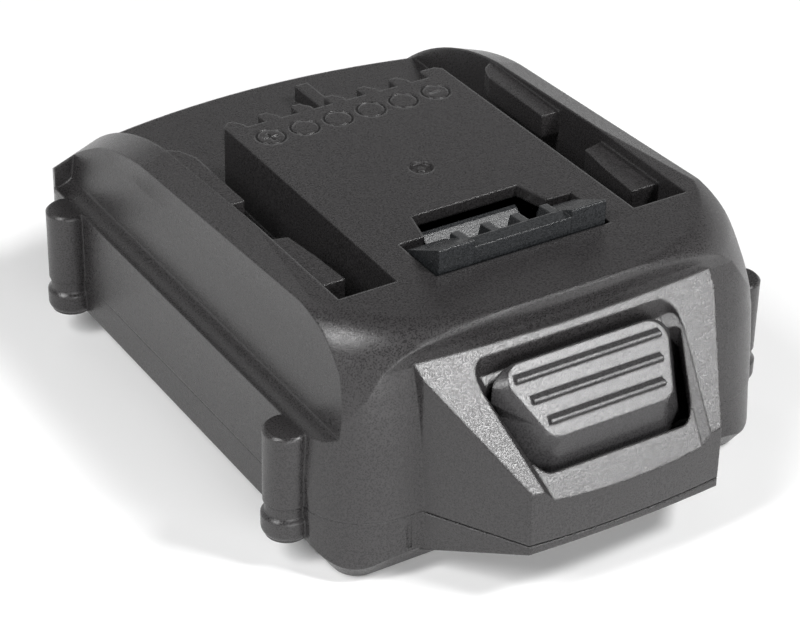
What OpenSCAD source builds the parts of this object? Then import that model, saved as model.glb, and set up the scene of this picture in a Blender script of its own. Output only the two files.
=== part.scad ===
// Slide-on battery pack for a power tool: five cells, two shells, a sprung release latch.
// Millimetres. X across the rails, Y along the slide with the button at -Y, Z up from the base.

/* [Body] */
// Length over the nose and the rear wall
pack_l = 112.1; // [110:0.1:120]
// Distance of the upper side faces from the ends of the cells
side_room = 2.45; // [1.65:0.05:3.4]
// Width of the ledge along the sides
ledge_w = 4.35; // [3.5:0.05:7.9]
// Height of the deck above the base
deck_h = 39.8; // [38.5:0.1:44]
// Height of the joint between the shells
parting_h = 10.5; // [9:0.1:11.5]
// Height of the ledge along the sides
ledge_h = 22.9; // [22.6:0.1:25]
// Wall thickness of both shells
wall = 2; // [1.6:0.1:2.2]
// Corner radius of the lower walls in plan
corner_r = 7.2; // [6.4:0.1:8]
// Radius of the two front corners in plan
front_r = 11.7; // [11:0.1:12.5]
// Inset of the bevel under the side walls
bevel_in = 3.4; // [2:0.1:3.8]
// Height of the bevel under the side walls
bevel_up = 4.8; // [3:0.1:5.4]
// Gap between the shells' joint faces and around loose pieces
fit_gap = 0.3; // [0.25:0.05:0.5]

/* [Slide interface] */
// Width of the plateau between the grooves at its front
plateau_w = 41.6; // [40:0.1:42.5]
// Taper of the plateau width to the rear
plateau_taper = 1.1; // [0:0.1:2]
// Width between the inner walls of the rails
rail_gap_w = 61; // [60:0.1:62]
// Height of the bay and groove floor
bay_h = 28.1; // [27.5:0.1:29]
// Front end of the grooves
groove_front_y = -25.35; // [-27:0.05:-24]
// Rear end of the plateau
plateau_rear_y = 28.05; // [27:0.05:30]
// Top of the tongues in the grooves
tongue_top_h = 38; // [37:0.1:38.5]
// Thickness of the tongues
tongue_t = 4; // [3:0.1:5]
// Reach of the rear tongues from the rail
tongue_rear_reach = 3.4; // [2.5:0.1:4]
// Reach of the front tongues from the rail
tongue_front_reach = 5.1; // [4:0.1:5.6]
// Pitch of the contact slots
contact_pitch = 6.05; // [5.9:0.05:6.2]
// Width of the contact notches
notch_w = 3.4; // [3:0.1:3.8]
// Depth of the contact notches
notch_d = 2.6; // [2:0.1:3]
// Width of the blade slots behind the notches
blade_slot_w = 1.8; // [1.4:0.1:2.2]

/* [Release] */
// Travel of the release button and latch
travel = 4; // [3.8:0.1:4.2]
// Height of the hook tips
hook_h = 43.5; // [43:0.1:43.7]
// Width over the hooks
latch_w = 29.2; // [28:0.1:30]
// Width of one hook
hook_w = 6.1; // [5:0.1:7]
// Thickness of the latch bar
bar_t = 3.1; // [2.6:0.1:3.6]
// Length of the nose in front of the body
nose_l = 15; // [14.5:0.1:15.6]
// Width of the nose at its root
nose_root_w = 50.8; // [49:0.1:52]
// Width of the nose at its front
nose_front_w = 33.2; // [32:0.1:35]
// Slope of the bezel from the horizontal
bezel_angle = 41.75; // [40:0.25:43]
// Height of the bezel plane above the front wall
bezel_h = 32.7; // [32:0.1:33.4]
// Width of the button at its widest
button_top_w = 29.4; // [28:0.1:30]
// Width of the button at its bottom
button_low_w = 23; // [22:0.1:24]
// Gap round the button
button_gap = 0.7; // [0.5:0.05:0.8]
// Spread of the button's side flanks below its face
flank = 1.9; // [1.2:0.1:2]
// Spread of the button's front flank below its face
front_flank = 0.8; // [0.4:0.1:1.4]
// Slope of the button's flanks
flank_angle = 32; // [25:1:40]

/* [Springs] */
// Outer diameter of the release springs
spring_d = 5.6; // [5:0.1:6]
// Wire diameter of the release springs
spring_wire = 0.6; // [0.4:0.05:0.7]
// Curls of each release spring
spring_turns = 7; // [5:1:8]

/* [Cells] */
// Gap between neighbouring cells
cell_gap = 0.2; // [0.1:0.05:0.3]
// Gap between the row of cells and the end walls
cell_end_gap = 0.4; // [0.3:0.05:0.6]
// Free height above the circuit board
board_room = 1.9; // [1.6:0.1:2.4]
// Cell length
cell_l = 65.2; // [64:0.1:70]
// Thickness of the connecting strips
strip_t = 0.3; // [0.15:0.05:0.35]
// Thickness of the circuit board
board_t = 1.6; // [1.2:0.1:1.8]

/* [Screws] */
// Diameter of the housing screws
screw_d = 3; // [2.5:0.1:3.2]
// Head diameter of the housing screws
screw_head_d = 5; // [4.6:0.1:5.2]
// Radius of the screw bosses on the sides
boss_r = 3.5; // [3.4:0.05:3.8]
// Distance of the front bosses from the front wall
boss_front_in = 13.35; // [12.5:0.05:14.5]
// Distance of the rear bosses from the rear wall
boss_rear_in = 12.85; // [12:0.05:15]

/* [Hidden] */
$fn = 64;
e = 0.02;
front_y = -pack_l/2;
rear_y = pack_l/2;
wall_y = front_y + nose_l;
ux = cell_l/2 + side_room;
hx = ux + ledge_w;
gx = rail_gap_w/2;
face_y = wall_y + 0.95;
band_x = 0.314;
band_y = 0.045;
band_z = deck_h + 0.16;
rear_axis_y = rear_y - 34.6;
rim_y = rear_y - 6.3;
rear_r = band_z - band_y*(rear_axis_y + 4.35) + 12.13;
crest_r = 62;
crest_y = face_y + 0.05 + crest_r;
turn_r = 21.7;
turn_a = 18.6;
turn_x = (crest_r - turn_r)*sin(turn_a) + 0.1;
turn_y = crest_y - (crest_r - turn_r)*cos(turn_a);
round_r = 8;
round_x = turn_r - 0.2756*round_r;
round_z = deck_h - 0.961*round_r;
boss_x = hx + 1;
boss_front_y = wall_y + boss_front_in;
boss_rear_y = rear_y - boss_rear_in;
side_lean = 0.15;
side_z = deck_h - 6.8;
front_arc_r = 450;
front_arc_y = wall_y - 0.35 + front_arc_r;
front_corner_x = hx - front_r + 0.6;
front_turn_a = asin(front_corner_x/(front_arc_r - front_r));
front_corner_y = front_arc_y - (front_arc_r - front_r)*cos(front_turn_a);
sweep_r = 36;
sweep_a = 30;
floor_z = wall;
under_bay_z = bay_h - wall;
row_l = rear_y - wall_y - 2*wall - 2*cell_end_gap;
cell_d = min((row_l - 4*cell_gap)/5, under_bay_z - floor_z - board_room - board_t - strip_t - 2);
cell_pitch = (row_l - cell_d)/4;
cell_z = floor_z + 1.05 + cell_d/2;
cell_y = (wall_y + rear_y)/2;
frame_top_z = cell_z + cell_d/2 + 0.95;
frame_end = cell_l/2 + 1;
board_screw_x = cell_l/2 - 3.6;
board_z = frame_top_z + strip_t;
board_top_z = board_z + board_t;
inner_top_z = ledge_h - wall;
roof_z = deck_h - wall;
contact_x = -0.25;
block_rear_y = plateau_rear_y - notch_d - wall - 0.4;
pocket_gap = 0.7;
lock_y = groove_front_y - 1.1;
pocket_front_y = lock_y - 0.6;
hook_rear_y = lock_y + 9.2;
window_rear_y = hook_rear_y + 6.4;
arm_top_z = 28.8;
arm_z = frame_top_z + travel + 0.5;
arm_front_y = face_y - 4.2;
spring_x = 7;
spring_y = wall_y - 6;
spring_low_z = 9;
spring_high_z = 22;
bez_t = tan(bezel_angle);
button_top_y = face_y - 1.75;
button_low_y = wall_y - 10;
button_rise = 1.4;
chin_z = 3.8;
chin_front_z = 9.2;
foot_z = 4.6;
screw_head_z = foot_z + 2.6;
foot_r = boss_r + 0.3;

function bezel_at(y) = bezel_h - bez_t*(face_y - y);
function contact_at(i) = contact_x + (i - 2.5)*contact_pitch;
function cell_at(i) = cell_y + (i - 2)*cell_pitch;

module both() {
    children();
    mirror([1, 0, 0]) children();
}

module along_y(y0, y1) {
    translate([0, y1, 0]) rotate([90, 0, 0]) linear_extrude(height = y1 - y0) children();
}

module along_x(x0, x1) {
    translate([x0, 0, 0]) rotate([90, 0, 90]) linear_extrude(height = x1 - x0) children();
}

module box(x0, x1, y0, y1, z0, z1) {
    translate([x0, y0, z0]) cube([x1 - x0, y1 - y0, z1 - z0]);
}

module plan(px, y0, y1, r) {
    translate([-px + r, y0]) square([2*px - 2*r, y1 - y0]);
    translate([-px, y0 + r]) square([2*px, y1 - y0 - 2*r]);
    for (x = [-px + r, px - r], y = [y0 + r, y1 - r]) translate([x, y]) circle(r);
}

// A block with rounded corners in plan whose rim follows a profile of radius and height
module rim_block(px, y0, y1, r, z0, z1) {
    both() {
        for (y = [y0 + r, y1 - r]) translate([px - r, y, 0]) rotate_extrude() children();
        translate([px - r, 0, 0]) along_y(y0 + r, y1 - r) children();
    }
    translate([0, y1 - r, 0]) along_x(-px + r, px - r) children();
    translate([0, y0 + r, 0]) mirror([0, 1, 0]) along_x(-px + r, px - r) children();
    box(-px + r, px - r, y0 + r, y1 - r, z0, z1);
}

module tray_profile(r, z0, z1, round) {
    translate([0, z0 + round]) square([r, z1 - z0 - round]);
    translate([0, z0]) square([r - round, z1 - z0]);
    translate([r - round, z0 + round]) circle(round);
}

module nose_plan(inset, back) {
    w = nose_root_w/2 - inset;
    b = w + 0.22*back;
    f = nose_front_w/2 - inset;
    intersection() {
        polygon([[-b, face_y + back], [b, face_y + back], [w, face_y], [f, front_y + 0.95],
            [f - 1.2, front_y - 1], [1.2 - f, front_y - 1], [-f, front_y + 0.95], [-w, face_y]]);
        translate([0, front_y + inset + 145]) circle(145, $fn = 360);
    }
}

// Everything above the bezel plane, lifted by d
module above_bezel(d) {
    translate([0, face_y, bezel_h + d]) rotate([bezel_angle, 0, 0]) box(-60, 60, -60, 60, 0, 60);
}

// Outline of the button, grown all round, at its face (0) or below its flanks (1)
module button_plan(grow, below) {
    t = button_top_w/2 + grow + flank*below;
    b = button_low_w/2 + grow + flank*below;
    y1 = button_top_y + grow;
    y0 = button_low_y - grow - front_flank*below;
    intersection() {
        polygon([[-t - 0.6, y1], [t + 0.6, y1], [b - 0.8, y0], [-b + 0.8, y0]]);
        union() {
            translate([-t, y0 - 1]) square([2*t, y1 - y0 - 2]);
            translate([-t + 3, y1 - 4]) square([2*t - 6, 4]);
            for (x = [-t + 3, t - 3]) translate([x, y1 - 3]) circle(3);
        }
        union() {
            translate([-t - 1, y0 + 2]) square([2*t + 2, y1 - y0]);
            translate([-b + 3, y0]) square([2*b - 6, 4]);
            for (x = [-b + 3, b - 3]) translate([x, y0 + 3]) circle(3);
        }
    }
}

// Shoulder that runs into a wider sweep down the corner
module turn_profile() {
    sweep_x = round_x + (round_r - sweep_r)*cos(sweep_a);
    sweep_z = round_z + (round_r - sweep_r)*sin(sweep_a);
    knee_z = round_z + round_r*sin(sweep_a);
    square([round_x, deck_h]);
    intersection() {
        translate([round_x, round_z]) circle(round_r, $fn = 96);
        translate([0, knee_z]) square([60, deck_h - knee_z]);
    }
    intersection() {
        translate([sweep_x, sweep_z]) circle(sweep_r, $fn = 240);
        translate([0, sweep_z]) square([60, knee_z - sweep_z + e]);
    }
    translate([0, parting_h]) square([sweep_x + sweep_r, sweep_z - parting_h + e]);
}

// Front end of the upper body: three tangent arcs with a rounded shoulder
module front_turn() {
    reach = 90*tan(turn_a);
    intersection() {
        translate([0, crest_y, 0]) rotate_extrude($fn = 240) {
            translate([crest_r - turn_r, 0]) turn_profile();
            translate([0, parting_h]) square([crest_r - turn_r + 1, deck_h - parting_h]);
        }
        linear_extrude(height = 60)
            polygon([[0, crest_y], [-reach, crest_y - 90], [reach, crest_y - 90]]);
    }
    both() translate([turn_x, turn_y, 0]) rotate_extrude($fn = 128) turn_profile();
    box(-60, 60, turn_y, rear_axis_y, parting_h, deck_h);
}

// Radius of the front wall over its height: it leans back to the bezel, and the deck overhangs it
module wall_profile(r) {
    h = deck_h - ledge_h;
    polygon([[0, 0], [r + 0.6, 0], [r, parting_h], [r - 0.35, (parting_h + ledge_h)/2], [r - 0.8, ledge_h],
        [r - 1.35, ledge_h + 0.24*h], [r - 2.05, ledge_h + 0.48*h], [r - 2.7, ledge_h + 0.66*h],
        [r - 2.4, ledge_h + 0.78*h], [r - 1.8, ledge_h + 0.9*h], [r - 1.25, deck_h + 1], [0, deck_h + 1]]);
}

// Front wall: a shallow arc that runs into two round corners
module front_wall(inset) {
    x = front_arc_r*sin(front_turn_a);
    intersection() {
        translate([0, front_arc_y, 0]) rotate_extrude($fn = 720) wall_profile(front_arc_r - inset);
        box(-x, x, -80, 0, 0, 60);
    }
    both() translate([front_corner_x, front_corner_y, 0]) rotate_extrude($fn = 128)
        wall_profile(front_r - inset);
    box(-60, 60, front_corner_y, 80, 0, 60);
}

// Rear end of the upper body: a cone about a cross axis
module rear_turn() {
    translate([0, rear_axis_y, -12.1]) rotate([0, 90, 0]) rotate_extrude($fn = 180)
        polygon([[0, -45], [rear_r - band_x*(45 - gx), -45], [rear_r + band_x*gx, 0],
            [rear_r - band_x*(45 - gx), 45], [0, 45]]);
}

module band_cut() {
    b = atan(band_x);
    translate([gx, -4.35, band_z]) rotate([-atan(band_y*cos(b)), b, 0]) box(-30, 30, -60, 100, 0, 30);
}

// Cross-section of the upper body: the side faces spread towards the ledge
module side_section() {
    w = ux + side_lean*(side_z - parting_h);
    polygon([[-w, parting_h], [w, parting_h], [ux, side_z], [ux, deck_h], [-ux, deck_h], [-ux, side_z]]);
}

module upper_body() {
    difference() {
        intersection() {
            union() {
                intersection() {
                    linear_extrude(height = deck_h) {
                        intersection() {
                            translate([-hx, wall_y - 1]) square([2*hx, rear_y - wall_y + 0.6]);
                            translate([0, rear_y - 0.4 - 130]) circle(130, $fn = 360);
                        }
                        intersection() {
                            plan(hx, 0, rear_y, corner_r);
                            for (x = [-hx, gx]) translate([x, 0]) square([hx - gx, rear_y]);
                        }
                    }
                    along_y(-80, 80) side_section();
                }
                linear_extrude(height = deck_h) intersection() {
                    plan(hx, 0, rear_y, corner_r);
                    for (x = [-hx, gx + 1]) translate([x, rim_y]) square([hx - gx - 1, 20]);
                }
            }
            box(-60, 60, -80, 80, parting_h, deck_h);
            union() {
                front_turn();
                intersection() {
                    rear_turn();
                    box(-60, 60, rear_axis_y - e, 80, parting_h, deck_h);
                }
            }
        }
        both() band_cut();
    }
}

module skirt() {
    translate([0, 0, parting_h]) linear_extrude(height = ledge_h - parting_h)
        plan(hx, wall_y - 1, rear_y, corner_r);
    both() difference() {
        box(ux - 1, hx, wall_y, rim_y + 0.5, ledge_h - 1, ledge_h + ledge_w);
        translate([hx, -80, ledge_h + ledge_w]) rotate([-90, 0, 0]) cylinder(r = ledge_w, h = 160);
    }
}

// Room for the row of cells with its frames
module cell_room() {
    y0 = cell_at(0) - cell_d/2 - 0.3;
    y1 = cell_at(4) + cell_d/2 + 0.3;
    intersection() {
        along_x(-frame_end - 1, frame_end + 1) polygon([[y0, bevel_up + 0.9], [y0 + bevel_in, floor_z],
            [y1 - bevel_in, floor_z], [y1, bevel_up + 0.9], [y1, cell_z + 4.2],
            [cell_at(4) + 2.3, frame_top_z + 0.4], [cell_at(0) - 1.3, frame_top_z + 0.4],
            [y0, cell_z + 4.2]]);
        linear_extrude(height = 60) plan(frame_end + 1, y0, y1, 3.4);
    }
}

module boss_places() {
    for (x = [-boss_x, boss_x], y = [boss_front_y, boss_rear_y]) translate([x, y, 0]) children();
}

module boss_caps() {
    boss_places() {
        translate([0, 0, parting_h]) cylinder(r = boss_r, h = ledge_h - parting_h - 0.4);
        translate([0, 0, ledge_h - 0.4]) cylinder(r1 = boss_r, r2 = boss_r - 0.4, h = 0.4);
    }
}

module upper_cavity() {
    intersection() {
        translate([0, 0, parting_h - 1]) linear_extrude(height = inner_top_z - parting_h + 1)
            plan(hx - wall, wall_y + wall, rear_y - wall, corner_r - wall);
        front_wall(wall + 0.1);
    }
    cell_room();
    box(-ux + wall, ux - wall, cell_at(0) - 1.4, cell_at(4) + 4, frame_top_z, under_bay_z);
    box(-plateau_w/2 + wall + 0.4, plateau_w/2 - wall - 0.4, face_y + 3.4, plateau_rear_y - notch_d - wall,
        under_bay_z - 1, roof_z);
    box(-latch_w/2 - 2.9, latch_w/2 + 2.9, face_y + 3.4, 0, frame_top_z, roof_z);
    box(-10.2, 10.2, face_y - 2.2, face_y + 4, frame_top_z, arm_top_z + 0.5);
}

module nose_cavity() {
    difference() {
        linear_extrude(height = 60) nose_plan(wall, 0);
        box(-60, 60, -80, 80, -1, parting_h - 1);
        above_bezel(-4);
    }
}

module bay_cut() {
    rear_w = plateau_w - plateau_taper;
    difference() {
        box(-gx, gx, groove_front_y, 80, bay_h, 60);
        linear_extrude(height = 60)
            polygon([[-plateau_w/2, groove_front_y - 1], [plateau_w/2, groove_front_y - 1],
                [rear_w/2, plateau_rear_y - 1], [rear_w/2 - 1, plateau_rear_y],
                [-rear_w/2 + 1, plateau_rear_y], [-rear_w/2, plateau_rear_y - 1]]);
    }
    for (i = [0:5]) translate([contact_at(i), plateau_rear_y - notch_d, 0]) {
        translate([0, 0, bay_h]) linear_extrude(height = 60)
            polygon([[-notch_w/2, 0], [notch_w/2, 0], [notch_w/2, 5], [-notch_w/2 - 1, 5],
                [-notch_w/2 - 1, notch_d - 0.4], [-notch_w/2, 1]]);
        box(-blade_slot_w/2, blade_slot_w/2, -wall - 1, 1, bay_h + 0.6, roof_z - 1.8);
    }
}

module tongues() {
    z0 = tongue_top_h - tongue_t;
    both() translate([0, 0, z0]) linear_extrude(height = tongue_t) {
        polygon([[gx + 1, 8.2], [gx - tongue_rear_reach, 8.2], [gx - tongue_rear_reach, 23.5],
            [gx - tongue_rear_reach + 1.2, 26.6], [gx, 28.2], [gx + 1, 28.2]]);
        polygon([[gx + 1, -18.6], [gx - tongue_front_reach, -18.6], [gx - tongue_front_reach + 0.5, -11],
            [gx - tongue_front_reach + 1.3, -4.4], [gx, -3.4], [gx + 1, -3.4]]);
    }
}

module ring_marks() {
    y = plateau_rear_y - 7.3;
    z = deck_h - 0.3;
    for (i = [0:5]) translate([contact_at(i), y, z]) difference() {
        cylinder(d = 5, h = 1);
        translate([0, 0, -1]) cylinder(d = 4.2, h = 3);
    }
    for (i = [0, 5]) translate([contact_at(i), y, 0]) box(-1.3, 1.3, -0.25, 0.25, z, 60);
    translate([contact_at(0), y, 0]) box(-0.25, 0.25, -1.3, 1.3, z, 60);
    translate([contact_x, 0.9, deck_h - 0.5]) difference() {
        cylinder(d = 3.8, h = 2);
        translate([0, 0, -1]) cylinder(d = 1.4, h = 1.3);
    }
}

module latch_opening() {
    w = latch_w/2 + pocket_gap;
    linear_extrude(height = 60) {
        translate([-w, pocket_front_y]) square([2*w, hook_rear_y + 0.5 - pocket_front_y]);
        polygon([[-11, hook_rear_y], [11, hook_rear_y], [9.4, window_rear_y], [-9.4, window_rear_y]]);
    }
}

// Bowl round the button, with sloped walls, and the shelf in front of it
module shelf_cut() {
    t = button_top_w/2 + 2.8;
    b = button_low_w/2 + 3.7;
    c = cos(bezel_angle);
    side_v = (button_top_y - 2.8 - face_y)/c;
    low_v = (button_low_y - 1.4 - face_y)/c;
    step_v = (button_low_y - front_flank - button_gap + 0.6 - face_y)/c;
    turn = atan((t - 0.3 - b)/(side_v - low_v));
    intersection() {
        linear_extrude(height = 60) {
            polygon([[-t + 2.4, button_top_y + 2.25], [t - 2.4, button_top_y + 2.25], [t, button_top_y - 1],
                [t - 0.3, button_top_y - 2.8], [b, button_low_y - 1.4], [b - 1.3, front_y - 2],
                [-b + 1.3, front_y - 2], [-b, button_low_y - 1.4], [-t + 0.3, button_top_y - 2.8],
                [-t, button_top_y - 1]]);
            for (x = [-t + 2.4, t - 2.4]) translate([x, button_top_y - 0.15]) circle(2.4);
        }
        translate([0, face_y, bezel_h]) rotate([bezel_angle, 0, 0]) intersection() {
            translate([t - 0.3, side_v, 0]) rotate([0, 0, -turn]) rotate([0, 45, 0])
                box(-90, 0, -90, 90, -90, 90);
            mirror([1, 0, 0]) translate([t - 0.3, side_v, 0]) rotate([0, 0, -turn]) rotate([0, 45, 0])
                box(-90, 0, -90, 90, -90, 90);
            translate([0, (button_top_y + 2.25 - face_y)/c, 0]) rotate([-45, 0, 0])
                box(-90, 90, -90, 0, -90, 90);
            union() {
                box(-90, 90, -90, 90, -1.25, 90);
                box(-90, 90, step_v, 90, -2.2, 90);
            }
        }
    }
}

module key_rib() {
    x = contact_x + 1.5*contact_pitch - 3.1;
    box(x - 1.2, x + 1.2, plateau_rear_y - 1, rear_y - 7.95, bay_h - 1, bay_h + 3);
}

module upper_shell() {
    color([0.16, 0.16, 0.17]) difference() {
        union() {
            difference() {
                union() {
                    intersection() {
                        union() {
                            upper_body();
                            skirt();
                        }
                        front_wall(0);
                    }
                    difference() {
                        linear_extrude(height = 60) nose_plan(0, 4);
                        box(-60, 60, -80, 80, -1, parting_h);
                        above_bezel(0);
                    }
                    boss_caps();
                }
                upper_cavity();
                nose_cavity();
                bay_cut();
            }
            tongues();
            key_rib();
            intersection() {
                boss_caps();
                box(-60, 60, -80, 80, parting_h, inner_top_z + 1);
            }
        }
        ring_marks();
        translate([0, 0, frame_top_z]) latch_opening();
        shelf_cut();
        translate([0, 0, parting_h + 1]) linear_extrude(height = 60) button_plan(button_gap, 1);
        boss_places() translate([0, 0, parting_h - 1])
            cylinder(d = screw_d + 0.1, h = ledge_h - parting_h - 1.6);
    }
}

module lower_outer() {
    intersection() {
        rim_block(hx, wall_y, rear_y, corner_r, 0, parting_h) polygon([[0, 0], [corner_r - bevel_in, 0],
            [corner_r, bevel_up], [corner_r, parting_h], [0, parting_h]]);
        front_wall(0.15);
    }
    intersection() {
        linear_extrude(height = parting_h - fit_gap) nose_plan(0, 0);
        along_x(-60, 60) polygon([[face_y, chin_z - 0.4], [wall_y, chin_z], [front_y, chin_front_z],
            [front_y - 1, chin_front_z], [front_y - 1, parting_h], [face_y, parting_h]]);
    }
    boss_places() {
        translate([0, 0, foot_z]) rotate_extrude() tray_profile(foot_r, 0, parting_h - 2.4 - foot_z, 1.4);
        translate([0, 0, parting_h - 2.4]) cylinder(r1 = foot_r, r2 = boss_r - 0.25, h = 0.6);
        translate([0, 0, parting_h - 1.8]) cylinder(r = boss_r - 0.25, h = 1.8);
    }
}

module lower_shell() {
    color([0.15, 0.15, 0.16]) difference() {
        union() {
            difference() {
                lower_outer();
                intersection() {
                    rim_block(hx - wall, wall_y + wall, rear_y - wall, corner_r - wall, floor_z, 20)
                        polygon([[0, floor_z], [corner_r - wall - bevel_in + 0.9, floor_z],
                            [corner_r - wall, bevel_up + 0.6], [corner_r - wall, 20], [0, 20]]);
                    front_wall(wall + 0.15);
                }
                cell_room();
                intersection() {
                    linear_extrude(height = 60) nose_plan(wall, 0);
                    along_x(-60, 60) polygon([[face_y + 2, chin_z + 1.6], [wall_y, chin_z + 2],
                        [front_y + 1, chin_front_z + 1.2], [front_y + 1, 60], [face_y + 2, 60]]);
                    box(-60, 60, -80, wall_y - e, 0, 60);
                }
            }
            intersection() {
                boss_places() cylinder(r = boss_r - 0.25, h = parting_h);
                difference() {
                    box(-60, 60, -80, 80, foot_z, parting_h);
                    box(-hx + wall, hx - wall, -80, 80, parting_h - 3, 80);
                }
            }
            both() translate([spring_x, spring_y, 0]) {
                translate([0, 0, 6.6]) cylinder(d = spring_d + 1.6, h = spring_low_z - 6.6);
                translate([0, 0, 6.6]) cylinder(d = spring_d - 2*spring_wire - 1, h = spring_low_z - 4.6);
            }
        }
        both() box(27, 27.8, wall_y - 1, wall_y + 0.6, bevel_up, 60);
        boss_places() {
            translate([0, 0, -1]) cylinder(d = screw_d + 0.5, h = 60);
            translate([0, 0, -1]) cylinder(d = screw_head_d + 0.6, h = screw_head_z + 1);
        }
    }
}

// Space outside the sloped flanks of the button
module beside_flanks() {
    c = cos(bezel_angle);
    x = button_low_w/2 - 0.8;
    v = (button_low_y - face_y)/c;
    turn = atan((button_top_w/2 + 0.6 - x)/((button_top_y - button_low_y)/c));
    translate([0, face_y, bezel_h + button_rise - 0.4]) rotate([bezel_angle, 0, 0]) {
        translate([0, v, 0]) rotate([-flank_angle, 0, 0]) box(-60, 60, -60, 0, -60, 60);
        both() translate([x, v, 0]) {
            rotate([0, 0, -turn]) rotate([0, -flank_angle, 0]) box(0, 60, -60, 60, -60, 60);
            rotate([0, 0, -(90 + turn)/2]) translate([-0.7, 0, 0]) rotate([0, -flank_angle, 0])
                box(0, 60, -60, 60, -60, 60);
        }
    }
}

module button_body() {
    difference() {
        translate([0, 0, arm_z - 9.6]) union() {
            linear_extrude(height = 60) button_plan(0, 0);
            difference() {
                linear_extrude(height = 60) button_plan(0, 1);
                translate([0, 0, 9.6 - arm_z]) beside_flanks();
            }
        }
        above_bezel(button_rise);
        translate([0, 0, -1]) difference() {
            translate([0, 0, -10]) linear_extrude(height = 70) button_plan(-1.9, 0);
            above_bezel(-1.5);
        }
        both() translate([spring_x, spring_y, arm_z - 10])
            cylinder(d = spring_d + 0.8, h = spring_high_z - arm_z + 10);
    }
}

module release_button() {
    color([0.2, 0.2, 0.21]) difference() {
        union() {
            button_body();
            intersection() {
                both() translate([spring_x, spring_y, spring_high_z]) cylinder(d = spring_d + 2, h = 12);
                difference() {
                    linear_extrude(height = 60) button_plan(-0.5, 0);
                    above_bezel(button_rise - 1);
                }
            }
            for (k = [0:2]) translate([0, face_y, bezel_h + button_rise]) rotate([bezel_angle, 0, 0])
                translate([0, -4.8 - 3.48*k, 0]) along_x(-12.6 + 1.3*k, 12.6 - 1.3*k)
                    polygon([[0.5, -0.5], [0.5, 0], [-0.3, 0.55], [-0.75, 0.55], [-0.95, 0], [-0.95, -0.5]]);
        }
        box(-9.7, 9.7, arm_front_y - 0.1, 0, arm_z - 0.1, arm_top_z + 0.1);
    }
}

module latch_bar() {
    w = latch_w/2;
    color([0.1, 0.1, 0.11]) {
        along_x(-w, w) polygon([[lock_y, arm_z], [lock_y + bar_t, arm_z], [lock_y + bar_t, hook_h - 1.5],
            [lock_y + bar_t - 0.6, hook_h - 1.15], [lock_y, hook_h - 1.15]]);
        both() along_x(w - hook_w, w) polygon([[lock_y - 0.1, arm_top_z], [hook_rear_y - 0.4, arm_top_z + 5],
            [hook_rear_y - 0.4, deck_h - 1], [hook_rear_y - 1.2, deck_h - 0.2], [lock_y + 0.3, hook_h],
            [lock_y - 0.1, hook_h]]);
        box(-9.4, 9.4, arm_front_y, lock_y + 0.5, arm_z, arm_top_z);
        box(-w - 2.2, w + 2.2, lock_y, lock_y + bar_t, roof_z - 3, roof_z - 0.4);
        along_x(-8.5, 8.5) polygon([[lock_y + bar_t - 1, arm_top_z], [lock_y + bar_t + 3, arm_top_z],
            [window_rear_y - 1, deck_h - 4.2], [window_rear_y - 1, deck_h - 2.6],
            [window_rear_y - 1.6, deck_h - 2.8], [lock_y + bar_t + 2, arm_top_z + 1.6],
            [lock_y + bar_t - 1, arm_top_z + 1.6]]);
        for (i = [0:3]) translate([(i - 1.5)*5.2, 0, 0]) along_x(-0.7, 0.7)
            polygon([[lock_y + bar_t - 1, arm_top_z + 1], [lock_y + bar_t + 3, arm_top_z + 1],
                [lock_y + bar_t + 5, arm_top_z + 6], [lock_y + bar_t + 3.2, hook_h - 2],
                [lock_y + bar_t - 1, hook_h - 1.6]]);
    }
}

// One unbroken helical tube with six sides and eight rings a curl
module spring(d, wire, turns, h) {
    rings = 8*turns + 1;
    r = (d - wire)/2;
    rise = h - wire;
    pts = [for (k = [0:rings - 1], s = [0:5])
        let (a = 45*k, c = 60*s, q = r + wire/2*cos(c))
        [q*cos(a), q*sin(a), wire/2 + rise*k/(rings - 1) + wire/2*sin(c)]];
    sides = [for (k = [0:rings - 2], s = [0:5], h = [0, 1])
        let (a = 6*k + s, b = 6*k + (s + 1)%6)
        h == 0 ? [a, b, b + 6] : [a, b + 6, a + 6]];
    ends = [[5, 4, 3, 2, 1, 0], [for (s = [0:5]) 6*(rings - 1) + s]];
    polyhedron(points = pts, faces = concat(sides, ends), convexity = 8);
    echo("gap between curls", rise/turns - wire);
}

module release_springs() {
    color([0.75, 0.76, 0.78]) for (x = [-spring_x, spring_x]) translate([x, spring_y, spring_low_z])
        spring(spring_d, spring_wire, spring_turns, spring_high_z - spring_low_z - 0.05);
}

module housing_screws() {
    color([0.7, 0.71, 0.73]) boss_places() difference() {
        union() {
            translate([0, 0, screw_head_z - 2.2]) cylinder(d = screw_head_d, h = 2.2);
            translate([0, 0, screw_head_z - 1]) cylinder(d = screw_d, h = ledge_h - screw_head_z - 3);
        }
        translate([0, 0, screw_head_z - 3]) cylinder(d = 2, h = 2.2, $fn = 6);
    }
}

module cell(i) {
    s = i%2 == 0 ? 1 : -1;
    translate([0, cell_at(i), cell_z]) rotate([0, 90*s, 0]) {
        color([0.28, 0.5, 0.42]) difference() {
            translate([0, 0, -cell_l/2]) cylinder(d = cell_d, h = cell_l - 0.8);
            translate([0, 0, cell_l/2 - 1.2]) cylinder(d = cell_d - 2.4, h = 2);
        }
        color([0.8, 0.8, 0.82]) translate([0, 0, cell_l/2 - 1.3]) cylinder(d = 9, h = 1.3);
        color([0.8, 0.8, 0.82]) translate([0, 0, cell_l/2 - 1.3]) cylinder(d = 13.5, h = 0.6);
    }
}

module cell_1() { cell(0); }
module cell_2() { cell(1); }
module cell_3() { cell(2); }
module cell_4() { cell(3); }
module cell_5() { cell(4); }

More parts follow.
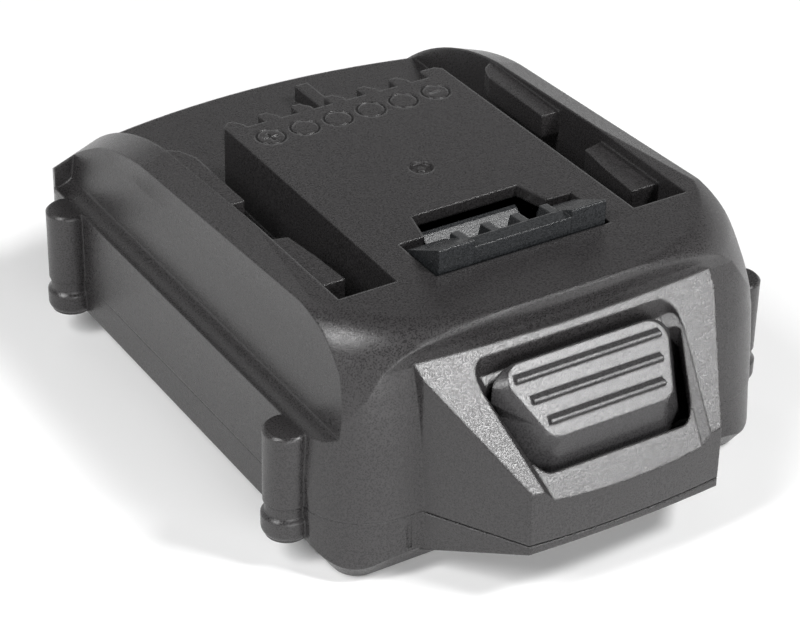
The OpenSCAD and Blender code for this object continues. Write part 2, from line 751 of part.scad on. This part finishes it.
module frame_block() {
    y0 = cell_at(0) - cell_d/2;
    y1 = cell_at(4) + cell_d/2;
    difference() {
        intersection() {
            linear_extrude(height = 60) plan(frame_end, y0, y1, 3.2);
            along_x(cell_l/2 - 8, frame_end) polygon([[y0, bevel_up + 1], [y0 + bevel_in, floor_z],
                [y1 - bevel_in, floor_z], [y1, bevel_up + 1], [y1, cell_z + 4],
                [cell_at(4) + 2, frame_top_z], [cell_at(0) - 1, frame_top_z], [y0, cell_z + 4]]);
        }
        for (i = [0:4]) translate([0, cell_at(i), cell_z]) rotate([0, 90, 0]) {
            cylinder(d = cell_d + 0.1, h = cell_l/2 + 0.05);
            cylinder(d = cell_d - 3.7, h = 60);
        }
        for (y = [cell_at(1) + cell_pitch/2, cell_at(3) + cell_pitch/2])
            translate([board_screw_x, y, frame_top_z - 3.6]) cylinder(d = 2.1, h = 5);
    }
    for (y = [cell_at(1) + cell_pitch/2, cell_at(3) + cell_pitch/2]) difference() {
        translate([board_screw_x, y, frame_top_z]) cylinder(d = 4, h = strip_t);
        translate([board_screw_x, y, frame_top_z - 3]) cylinder(d = 2.1, h = 5);
    }
}

module cell_frame_right() {
    color([0.86, 0.85, 0.8]) frame_block();
}

module cell_frame_left() {
    color([0.86, 0.85, 0.8]) mirror([1, 0, 0]) frame_block();
}

module pad(i) {
    translate([cell_l/2, cell_at(i), cell_z]) rotate([0, 90, 0]) cylinder(d = 7, h = 1 + strip_t/2);
}

module link(i) {
    y = cell_at(i) + cell_pitch/2;
    difference() {
        box(frame_end, frame_end + strip_t, cell_at(i) - 5, cell_at(i + 1) + 5, cell_z - 4.6, cell_z + 4.6);
        box(0, 60, y - 0.6, y + 0.6, cell_z - 1.4, cell_z + 1.4);
    }
    pad(i);
    pad(i + 1);
}

module riser(y, z0) {
    box(frame_end, frame_end + strip_t, y - 2, y + 2, z0, frame_top_z + strip_t);
    box(frame_end - 4, frame_end + strip_t, y - 2, y + 2, frame_top_z, frame_top_z + strip_t);
}

module link_strips() {
    color([0.78, 0.77, 0.74]) {
        link(0);
        riser(cell_at(1) + 3, cell_z + 4);
        link(2);
        riser(cell_at(2) + 3, cell_z + 4);
        mirror([1, 0, 0]) {
            link(1);
            riser(cell_at(2) + 3, cell_z + 4);
            link(3);
            riser(cell_at(3) + 3, cell_z + 4);
        }
    }
}

module positive_strip() {
    color([0.78, 0.77, 0.74]) {
        box(frame_end, frame_end + strip_t, cell_at(4) - 5, cell_at(4) + 5, cell_z - 4.6, cell_z + 4.6);
        pad(4);
        riser(cell_at(4) - 2, cell_z + 4);
    }
}

module negative_strip() {
    color([0.78, 0.77, 0.74]) mirror([1, 0, 0]) {
        box(frame_end, frame_end + strip_t, cell_at(0) - 5, cell_at(0) + 4, cell_z - 4.6, cell_z + 4.6);
        box(frame_end, frame_end + strip_t, cell_at(0) - 1, cell_at(0) + 4, cell_z, cell_z + 9);
        box(frame_end, frame_end + strip_t, cell_at(0) - 1, cell_at(1) + 7, cell_z + 6.2, cell_z + 9);
        pad(0);
        riser(cell_at(1) + 5, cell_z + 6.2);
    }
}

module end_insulators() {
    x = frame_end + strip_t;
    color([0.82, 0.86, 0.78]) both()
        box(x, x + 0.25, cell_at(0) - 5.4, cell_at(4) + 5.4, floor_z + 0.6, cell_z + 5.6);
}

module foam_pads() {
    color([0.24, 0.24, 0.25]) both()
        box(8, 20, cell_at(0) - 6, cell_at(4) + 6, floor_z, cell_z - cell_d/2);
}

module board_plan() {
    x = ux - wall - fit_gap - 0.6;
    difference() {
        translate([-x, -8.6]) square([2*x, cell_at(4) + 10.6]);
        for (s = [-1, 1], y = [cell_at(1) + cell_pitch/2, cell_at(3) + cell_pitch/2])
            translate([s*board_screw_x, y]) circle(d = 2.3);
    }
}

module circuit_board() {
    color([0.1, 0.34, 0.2]) translate([0, 0, board_z]) linear_extrude(height = board_t) board_plan();
}

module board_screws() {
    color([0.72, 0.72, 0.74])
        for (s = [-1, 1], y = [cell_at(1) + cell_pitch/2, cell_at(3) + cell_pitch/2])
            translate([s*board_screw_x, y, 0]) {
                translate([0, 0, frame_top_z - 3.2]) cylinder(d = 2, h = board_top_z - frame_top_z + 3.3);
                translate([0, 0, board_top_z]) cylinder(d = 3.8, h = 1.2);
            }
}

module terminal_block() {
    x = plateau_w/2 - wall - 1.4;
    color([0.2, 0.21, 0.22]) difference() {
        box(-x, x, block_rear_y - 11, block_rear_y, board_top_z, roof_z - 1.2);
        for (i = [0:5]) translate([contact_at(i), 0, 0])
            box(-2.1, 2.1, block_rear_y - 9.4, block_rear_y + 1, board_top_z + 1.2, 60);
    }
}

module terminal(i) {
    translate([contact_at(i), block_rear_y, board_top_z + 1.2]) {
        box(-1.6, 1.6, -9.2, -0.6, 0, 0.6);
        both() box(0.42, 0.92, -8.8, -0.8, 0.5, roof_z - board_top_z - 4);
    }
}

module power_terminals() {
    color([0.8, 0.62, 0.38]) for (i = [0, 5]) terminal(i);
}

module signal_terminals() {
    color([0.8, 0.62, 0.38]) for (i = [1:4]) terminal(i);
}

module control_chip() {
    color([0.08, 0.08, 0.09]) box(-12, -5, -2, 5, board_top_z, board_top_z + 1.2);
}

module power_transistors() {
    color([0.1, 0.1, 0.11]) for (x = [2, 13]) {
        box(x - 4.6, x + 4.6, -4, 4.6, board_top_z, board_top_z + 4.2);
        box(x - 4, x + 4, 4.6, 6.2, board_top_z, board_top_z + 1.2);
    }
}

module fuse() {
    y = cell_at(4) - 6.1;
    x = board_screw_x - 6.4;
    color([0.9, 0.89, 0.85]) box(x, x + 6, y, y + 3.6, board_top_z, board_top_z + 1.4);
}

module capacitors() {
    y = cell_at(4) - 12.5;
    color([0.7, 0.55, 0.36]) for (x = [-17, -13.4, -9.8])
        box(x, x + 2, y, y + 2.6, board_top_z, board_top_z + 1.3);
}

module thermistor() {
    y = cell_at(2) + cell_pitch/2;
    h = sqrt(pow(cell_d/2 + 1.55, 2) - pow(cell_pitch/2, 2));
    color([0.2, 0.45, 0.6]) {
        translate([0, y, cell_z + h]) rotate([0, 90, 0]) cylinder(r = 1.5, h = 4, center = true);
        for (x = [-1, 1]) translate([x, y, cell_z + h]) cylinder(d = 0.5, h = board_z - cell_z - h);
    }
}

upper_shell();
lower_shell();
release_button();
latch_bar();
release_springs();
housing_screws();
cell_1();
cell_2();
cell_3();
cell_4();
cell_5();
cell_frame_left();
cell_frame_right();
link_strips();
positive_strip();
negative_strip();
end_insulators();
foam_pads();
circuit_board();
terminal_block();
power_terminals();
signal_terminals();
board_screws();
control_chip();
power_transistors();
fuse();
capacitors();
thermistor();
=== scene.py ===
import math
import bmesh
import bpy
from mathutils import Matrix, Vector


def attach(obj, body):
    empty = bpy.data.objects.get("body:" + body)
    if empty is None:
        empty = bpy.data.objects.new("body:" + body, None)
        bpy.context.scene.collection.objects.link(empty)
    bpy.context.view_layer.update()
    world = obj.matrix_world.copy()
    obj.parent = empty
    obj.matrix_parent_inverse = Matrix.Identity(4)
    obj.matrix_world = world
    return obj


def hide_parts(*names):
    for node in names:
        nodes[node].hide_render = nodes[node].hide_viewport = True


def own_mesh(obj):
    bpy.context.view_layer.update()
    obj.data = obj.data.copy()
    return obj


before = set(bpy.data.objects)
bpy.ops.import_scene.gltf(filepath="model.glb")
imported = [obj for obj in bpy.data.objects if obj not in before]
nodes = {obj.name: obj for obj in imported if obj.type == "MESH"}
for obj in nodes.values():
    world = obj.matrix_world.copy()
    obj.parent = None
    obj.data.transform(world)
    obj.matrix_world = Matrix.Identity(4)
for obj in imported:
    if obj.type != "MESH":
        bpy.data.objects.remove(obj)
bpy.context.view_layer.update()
scene = bpy.context.scene
scene.view_settings.view_transform = "Standard"
print("frame loaded:", len(nodes), "nodes")

# camera, fitted to the picture
camera = {"place": (-0.19524, -0.3009, 0.24186), "turn": (57.6325, -1.0979, -31.7266),
          "lens": 121.24, "sensor": 36, "nearest": 0.01}
camData = bpy.data.cameras.new("packCamera")
camData.sensor_fit = "HORIZONTAL"
camData.sensor_width = camera["sensor"]
camData.lens = camera["lens"]
camData.clip_start = camera["nearest"]
packCamera = bpy.data.objects.new("packCamera", camData)
packCamera.location = camera["place"]
packCamera.rotation_euler = [math.radians(a) for a in camera["turn"]]
scene.collection.objects.link(packCamera)
scene.camera = packCamera
print("camera placed")


def newMaterial(name):
    mat = bpy.data.materials.new(name)
    mat.use_nodes = True
    tree = mat.node_tree
    return mat, tree, tree.nodes["Principled BSDF"]


def addNode(tree, kind, **settings):
    node = tree.nodes.new(kind)
    for key, value in settings.items():
        setattr(node, key, value)
    return node


def rampNode(tree, source, stops):
    ramp = addNode(tree, "ShaderNodeValToRGB")
    for element, (place, colour) in zip(ramp.color_ramp.elements, stops):
        element.position = place
        element.color = (*colour, 1)
    tree.links.new(source, ramp.inputs["Fac"])
    return ramp.outputs["Color"]


def noiseNode(tree, coords, scale, detail=2, rough=0.5):
    noise = addNode(tree, "ShaderNodeTexNoise")
    noise.inputs["Scale"].default_value = scale
    noise.inputs["Detail"].default_value = detail
    noise.inputs["Roughness"].default_value = rough
    tree.links.new(coords, noise.inputs["Vector"])
    return noise.outputs["Fac"]


def spanNode(tree, source, fromSpan, toSpan):
    span = addNode(tree, "ShaderNodeMapRange")
    span.inputs["From Min"].default_value, span.inputs["From Max"].default_value = fromSpan
    span.inputs["To Min"].default_value, span.inputs["To Max"].default_value = toSpan
    tree.links.new(source, span.inputs["Value"])
    return span.outputs["Result"]


def mathNode(tree, operation, first, second):
    node = addNode(tree, "ShaderNodeMath", operation=operation)
    tree.links.new(first, node.inputs[0])
    if isinstance(second, (int, float)):
        node.inputs[1].default_value = second
    else:
        tree.links.new(second, node.inputs[1])
    return node.outputs[0]


def browRadius(tree, coords, edgeMm, brow):
    place = addNode(tree, "ShaderNodeSeparateXYZ")
    tree.links.new(coords, place.inputs[0])
    nearEdge = spanNode(tree, place.outputs["Y"], brow["fade"], (0, 1))
    high = mathNode(tree, "GREATER_THAN", place.outputs["Z"], brow["above"])
    both = mathNode(tree, "MULTIPLY", nearEdge, high)
    return spanNode(tree, both, (0, 1), (edgeMm/1000, brow["edgeMm"]/1000))


def mouldedPlastic(name, look):
    mat, tree, shader = newMaterial(name)
    coords = addNode(tree, "ShaderNodeTexCoord").outputs["Object"]
    pits = noiseNode(tree, coords, look["grain"], detail=3, rough=0.6)
    colour = rampNode(tree, pits, [(0.36, look["dark"]), (0.64, look["light"])])
    tree.links.new(colour, shader.inputs["Base Color"])
    tree.links.new(spanNode(tree, pits, (0.35, 0.65), look["rough"]), shader.inputs["Roughness"])
    soft = addNode(tree, "ShaderNodeBevel", samples=6)  # rounds the edges, in the shading only
    soft.inputs["Radius"].default_value = look["edgeMm"]/1000
    if "brow" in look:
        tree.links.new(browRadius(tree, coords, look["edgeMm"], look["brow"]), soft.inputs["Radius"])
    bump = addNode(tree, "ShaderNodeBump")
    bump.inputs["Strength"].default_value = 1
    bump.inputs["Distance"].default_value = look["bumpMm"]/1000
    tree.links.new(pits, bump.inputs["Height"])
    tree.links.new(soft.outputs["Normal"], bump.inputs["Normal"])
    tree.links.new(bump.outputs["Normal"], shader.inputs["Normal"])
    return mat


def brushedMetal(name, look):
    mat, tree, shader = newMaterial(name)
    coords = addNode(tree, "ShaderNodeTexCoord").outputs["Object"]
    lines = noiseNode(tree, coords, scale=900, detail=4, rough=0.6)
    colour = rampNode(tree, lines, [(0.3, look["dark"]), (0.7, look["light"])])
    tree.links.new(colour, shader.inputs["Base Color"])
    tree.links.new(spanNode(tree, lines, (0, 1), look["rough"]), shader.inputs["Roughness"])
    shader.inputs["Metallic"].default_value = 1
    return mat


# grain is the noise scale, bumpMm its depth, edgeMm the rounding of edges
plastics = {
    "shellPlastic": {"dark": (0.0155, 0.0146, 0.015), "light": (0.036, 0.034, 0.0348), "rough": (0.2, 0.42),
                     "grain": 3800, "bumpMm": 0.034, "edgeMm": 0.5,
                     "brow": {"fade": (-0.03, -0.035), "above": 0.0375, "edgeMm": 1.3}},  # rounder deck edge
    "buttonPlastic": {"dark": (0.025, 0.0243, 0.025), "light": (0.052, 0.0505, 0.052), "rough": (0.2, 0.38),
                      "grain": 4000, "bumpMm": 0.028, "edgeMm": 0.4},
    "latchPlastic": {"dark": (0.012, 0.0129, 0.014), "light": (0.028, 0.0298, 0.032), "rough": (0.22, 0.33),
                     "grain": 3600, "bumpMm": 0.014, "edgeMm": 0.35},
    "framePlastic": {"dark": (0.62, 0.6, 0.54), "light": (0.7, 0.68, 0.62), "rough": (0.4, 0.55),
                     "grain": 1200, "bumpMm": 0.02, "edgeMm": 0.2},
    "blockPlastic": {"dark": (0.03, 0.03, 0.034), "light": (0.045, 0.045, 0.05), "rough": (0.35, 0.5),
                     "grain": 1500, "bumpMm": 0.02, "edgeMm": 0.15},
    "chipPlastic": {"dark": (0.012, 0.012, 0.013), "light": (0.02, 0.02, 0.021), "rough": (0.4, 0.55),
                    "grain": 1800, "bumpMm": 0.02, "edgeMm": 0.1},
    "cellSleeve": {"dark": (0.09, 0.27, 0.2), "light": (0.11, 0.31, 0.23), "rough": (0.22, 0.3),
                   "grain": 500, "bumpMm": 0.008, "edgeMm": 0.3},
    "insulatorSheet": {"dark": (0.5, 0.56, 0.44), "light": (0.62, 0.67, 0.54), "rough": (0.6, 0.75),
                       "grain": 2200, "bumpMm": 0.03, "edgeMm": 0.05},
    "foamPad": {"dark": (0.04, 0.04, 0.043), "light": (0.07, 0.07, 0.075), "rough": (0.8, 0.95),
                "grain": 900, "bumpMm": 0.15, "edgeMm": 0.2},
    "boardLaminate": {"dark": (0.02, 0.12, 0.055), "light": (0.03, 0.16, 0.075), "rough": (0.25, 0.4),
                      "grain": 600, "bumpMm": 0.01, "edgeMm": 0.1},
    "ceramicBody": {"dark": (0.5, 0.4, 0.27), "light": (0.6, 0.5, 0.36), "rough": (0.45, 0.6),
                    "grain": 1600, "bumpMm": 0.02, "edgeMm": 0.1},
    "sensorCoat": {"dark": (0.05, 0.16, 0.27), "light": (0.07, 0.2, 0.32), "rough": (0.15, 0.25),
                   "grain": 700, "bumpMm": 0.01, "edgeMm": 0.1},
}
metals = {
    "springSteel": {"dark": (0.5, 0.51, 0.53), "light": (0.66, 0.67, 0.69), "rough": (0.22, 0.4)},
    "stripNickel": {"dark": (0.6, 0.58, 0.54), "light": (0.74, 0.72, 0.68), "rough": (0.24, 0.42)},
    "terminalBrass": {"dark": (0.62, 0.42, 0.2), "light": (0.78, 0.56, 0.3), "rough": (0.22, 0.4)},
}
finish = {
    "shellPlastic": ["upper_shell", "lower_shell"], "buttonPlastic": ["release_button"],
    "latchPlastic": ["latch_bar"], "framePlastic": ["cell_frame_left", "cell_frame_right"],
    "blockPlastic": ["terminal_block"], "chipPlastic": ["control_chip", "power_transistors"],
    "cellSleeve": ["cell_1", "cell_2", "cell_3", "cell_4", "cell_5"], "insulatorSheet": ["end_insulators"],
    "foamPad": ["foam_pads"], "boardLaminate": ["circuit_board"], "ceramicBody": ["fuse", "capacitors"],
    "sensorCoat": ["thermistor"], "springSteel": ["release_springs", "housing_screws", "board_screws"],
    "stripNickel": ["link_strips", "positive_strip", "negative_strip"],
    "terminalBrass": ["power_terminals", "signal_terminals"],
}
mats = {name: mouldedPlastic(name, look) for name, look in plastics.items()}
mats.update({name: brushedMetal(name, look) for name, look in metals.items()})
for matName, nodeNames in finish.items():
    for nodeName in nodeNames:
        slots = nodes[nodeName].data.materials
        slots.clear()
        slots.append(mats[matName])
print("materials on", sum(len(names) for names in finish.values()), "nodes")

# the button with round corners: its solid, trimmed by a rounded cone on the bezel's slope, in millimetres
trim = {"origin": (0, -40.1, 33.7), "slope": 41.75, "flank": 46, "radius": 3, "clear": 0.04, "steps": 14,
        "lowHalf": 10.7, "lowY": -51.05, "topHalf": 15.3, "topY": -41.85, "levels": (1.5, -26)}


def trimRing(level):
    slope = math.radians(trim["slope"])
    radius = trim["radius"]
    low, top = [(trim[key] - trim["origin"][1])/math.cos(slope) for key in ("lowY", "topY")]
    lean = math.atan2(trim["topHalf"] - trim["lowHalf"], top - low)
    inset = radius*math.cos(lean)
    lowCentre = (trim["lowHalf"] - inset/(1 + math.sin(lean)), low + radius)
    topCentre = (trim["topHalf"] - inset/(1 - math.sin(lean)), top - radius)
    grown = radius + trim["clear"] - level*math.tan(math.radians(trim["flank"]))
    right = []
    for centre, first, last in ((lowCentre, -math.pi/2, -lean), (topCentre, -lean, math.pi/2)):
        for k in range(trim["steps"] + 1):
            t = first + (last - first)*k/trim["steps"]
            right.append((centre[0] + grown*math.cos(t), centre[1] + grown*math.sin(t), level))
    onSlope = Matrix.Translation(Vector(trim["origin"])) @ Matrix.Rotation(slope, 4, "X")
    ring = right + [(-x, v, w) for x, v, w in reversed(right)]
    return [onSlope @ Vector(q)/1000 for q in ring]


upper, lower = [trimRing(level) for level in trim["levels"]]
count = len(upper)
sides = [(k, (k + 1) % count, count + (k + 1) % count, count + k) for k in range(count)]
caps = [tuple(range(count)), tuple(reversed(range(count, 2*count)))]
coneMesh = bpy.data.meshes.new("trimCone")
coneMesh.from_pydata(upper + lower, [], sides + caps)
work = bmesh.new()
work.from_mesh(coneMesh)
bmesh.ops.remove_doubles(work, verts=work.verts, dist=1e-7)
bmesh.ops.recalc_face_normals(work, faces=work.faces)
work.to_mesh(coneMesh)
work.free()
trimCone = bpy.data.objects.new("trimCone", coneMesh)
scene.collection.objects.link(trimCone)
pressPad = bpy.data.objects.new("pressPad", nodes["release_button"].data.copy())
scene.collection.objects.link(pressPad)
cut = pressPad.modifiers.new("roundCorners", "BOOLEAN")
cut.operation = "INTERSECT"
cut.solver = "EXACT"
cut.object = trimCone
bpy.context.view_layer.update()
depsgraph = bpy.context.evaluated_depsgraph_get()
trimmed = bpy.data.meshes.new_from_object(pressPad.evaluated_get(depsgraph))
pressPad.modifiers.clear()
pressPad.data = trimmed
bpy.data.objects.remove(trimCone)
trimmed.materials.clear()
trimmed.materials.append(mats["buttonPlastic"])
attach(pressPad, "release")
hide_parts("release_button")
print("button rounded:", len(trimmed.polygons), "faces")

# the springs, copied with a mesh of their own, on their fixed feet in the pack
releaseCoils = bpy.data.objects.new("releaseCoils", nodes["release_springs"].data.copy())
scene.collection.objects.link(releaseCoils)
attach(releaseCoils, "pack")
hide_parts("release_springs")
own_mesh(releaseCoils)


def seenRays(tree):
    path = addNode(tree, "ShaderNodeLightPath")
    first = mathNode(tree, "MAXIMUM", path.outputs["Is Camera Ray"], path.outputs["Is Glossy Ray"])
    return mathNode(tree, "MAXIMUM", first, path.outputs["Is Transmission Ray"])


# pale floor, white to the eye and in reflections, with the shadow kept
floor = {"halfSize": 3, "drop": 0.0003, "paint": ((0.88, 0.88, 0.88), (0.9, 0.9, 0.9)),
         "mottle": 3, "rough": 0.9, "glow": 0.1}
half = floor["halfSize"]
floorCorners = [(-half, -half, 0), (half, -half, 0), (half, half, 0), (-half, half, 0)]
floorMesh = bpy.data.meshes.new("paleFloor")
floorMesh.from_pydata(floorCorners, [], [(0, 1, 2, 3)])
paleFloor = bpy.data.objects.new("paleFloor", floorMesh)
paleFloor.location.z = -floor["drop"]
scene.collection.objects.link(paleFloor)
floorMat, tree, shader = newMaterial("floorPaint")
mottle = noiseNode(tree, addNode(tree, "ShaderNodeTexCoord").outputs["Object"], floor["mottle"])
paint = rampNode(tree, mottle, [(0.3, floor["paint"][0]), (0.7, floor["paint"][1])])
tree.links.new(paint, shader.inputs["Base Color"])
shader.inputs["Roughness"].default_value = floor["rough"]
shader.inputs["Specular IOR Level"].default_value = 0
shader.inputs["Emission Color"].default_value = (1, 1, 1, 1)
glow = mathNode(tree, "MULTIPLY", seenRays(tree), floor["glow"])
tree.links.new(glow, shader.inputs["Emission Strength"])
floorMesh.materials.append(floorMat)

# white wall, fading upward to a dim ceiling
surround = {"fill": 0.06, "wall": 1.0, "ceiling": 0.11, "fade": (0.24, 0.46)}
studio = bpy.data.worlds.new("studio")
studio.use_nodes = True
scene.world = studio
tree = studio.node_tree
aim = addNode(tree, "ShaderNodeSeparateXYZ")
tree.links.new(addNode(tree, "ShaderNodeTexCoord").outputs["Generated"], aim.inputs["Vector"])
sky = spanNode(tree, aim.outputs["Z"], surround["fade"], (surround["wall"], surround["ceiling"]))
seen = addNode(tree, "ShaderNodeMapRange")
seen.inputs["To Min"].default_value = surround["fill"]
tree.links.new(sky, seen.inputs["To Max"])
tree.links.new(seenRays(tree), seen.inputs["Value"])
background = tree.nodes["Background"]
background.inputs["Color"].default_value = (1, 1, 1, 1)
tree.links.new(seen.outputs["Result"], background.inputs["Strength"])
print("floor and surround set")

lamps = {
    "keyBox": {"place": (0.53, -0.61, 1.0), "size": (0.27, 0.27), "power": 11.5},
    "frontBox": {"place": (-0.15, -1.15, 0.3), "size": (0.9, 0.45), "power": 11},
    "leftBox": {"place": (-0.8, -0.1, 0.88), "size": (0.3, 0.6), "power": 9.5},
    "rearBox": {"place": (-0.1, 0.85, 0.95), "size": (0.5, 0.4), "power": 0.8},
}
packMiddle = Vector((0, 0, 0.02))
for name, lamp in lamps.items():
    data = bpy.data.lights.new(name, "AREA")
    data.shape = "RECTANGLE"
    data.size, data.size_y = lamp["size"]
    data.energy = lamp["power"]
    box = bpy.data.objects.new(name, data)
    box.location = lamp["place"]
    box.rotation_euler = (packMiddle - Vector(lamp["place"])).to_track_quat("-Z", "Y").to_euler()
    scene.collection.objects.link(box)
print("lamps placed:", len(lamps))
